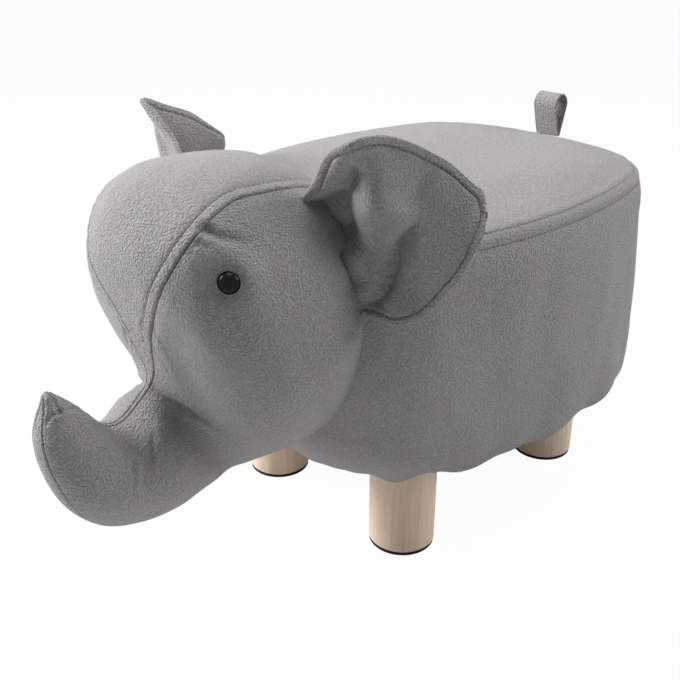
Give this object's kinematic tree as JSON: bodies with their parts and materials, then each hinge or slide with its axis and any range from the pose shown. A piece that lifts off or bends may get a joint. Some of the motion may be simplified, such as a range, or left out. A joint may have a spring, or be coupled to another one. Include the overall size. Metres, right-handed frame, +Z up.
{
  "type": "footstool",
  "caption": "Upholstered children's footstool shaped like an elephant: grey plush seat on four round wooden legs, stuffed head with upturned trunk, two hinged ears and a tail loop.",
  "frame": {"origin": "on the floor, in the middle of the whole length and width", "axes": "+X is the elephant's left, -Y is the way it faces, +Z is up"},
  "size_m": [0.3108, 0.5561, 0.3484],
  "materials": {
    "grey_plush": "short pebbled nap",
    "lining": "non-woven cloth",
    "wadding": "fibre filling",
    "foam": "cut foam",
    "felt": "pressed felt",
    "beech": "clear satin lacquer",
    "softwood": "planed",
    "plywood": "sanded",
    "fibreboard": "smooth board",
    "zinc_steel": "zinc plated",
    "black_gloss": "polished",
    "white_plastic": "moulded"
  },
  "bodies": {
    "stool": {"base_board": "plywood", "seat_board": "plywood", "side_hoop": "fibreboard", "post_front_left": "softwood", "post_front_right": "softwood", "post_rear_left": "softwood", "post_rear_right": "softwood", "post_screws": "zinc_steel", "tee_nuts": "zinc_steel", "hanger_bolts": "zinc_steel", "leg_front_left": "beech", "leg_front_right": "beech", "leg_rear_left": "beech", "leg_rear_right": "beech", "foot_pads": "felt", "side_foam": "foam", "seat_foam": "foam", "side_cover": "grey_plush", "top_cover": "grey_plush", "dust_cover": "lining", "head_filling": "wadding", "trunk_filling": "wadding", "trunk_tip_filling": "wadding", "neck_panel": "lining", "forehead_panel": "grey_plush", "head_left_panel": "grey_plush", "head_right_panel": "grey_plush", "chin_panel": "grey_plush", "eye_left": "black_gloss", "eye_right": "black_gloss", "eye_washers": "white_plastic"},
    "left_ear": {"ear_left_front": "grey_plush", "ear_left_wadding": "wadding", "ear_left_back": "grey_plush"},
    "right_ear": {"ear_right_front": "grey_plush", "ear_right_wadding": "wadding", "ear_right_back": "grey_plush"},
    "tail": {"tail_loop": "grey_plush"}
  },
  "joints": [
    {"name": "left_ear_fold", "type": "hinge", "parent": "stool", "child": "left_ear", "pos_m": [0.08608, -0.09655, 0.27381], "axis": [0.2534, 0.2534, -0.9336], "range_deg": [0, 30], "stiffness_Nm_per_rad": 0.08},
    {"name": "right_ear_fold", "type": "hinge", "parent": "stool", "child": "right_ear", "pos_m": [-0.08608, -0.09655, 0.27381], "axis": [0.2534, -0.2534, 0.9336], "range_deg": [0, 30], "stiffness_Nm_per_rad": 0.08},
    {"name": "tail_bend", "type": "hinge", "parent": "stool", "child": "tail", "pos_m": [0, 0.2612, 0.2764], "axis": [1, 0, 0], "range_deg": [-25, 25], "stiffness_Nm_per_rad": 0.01}
  ]
}
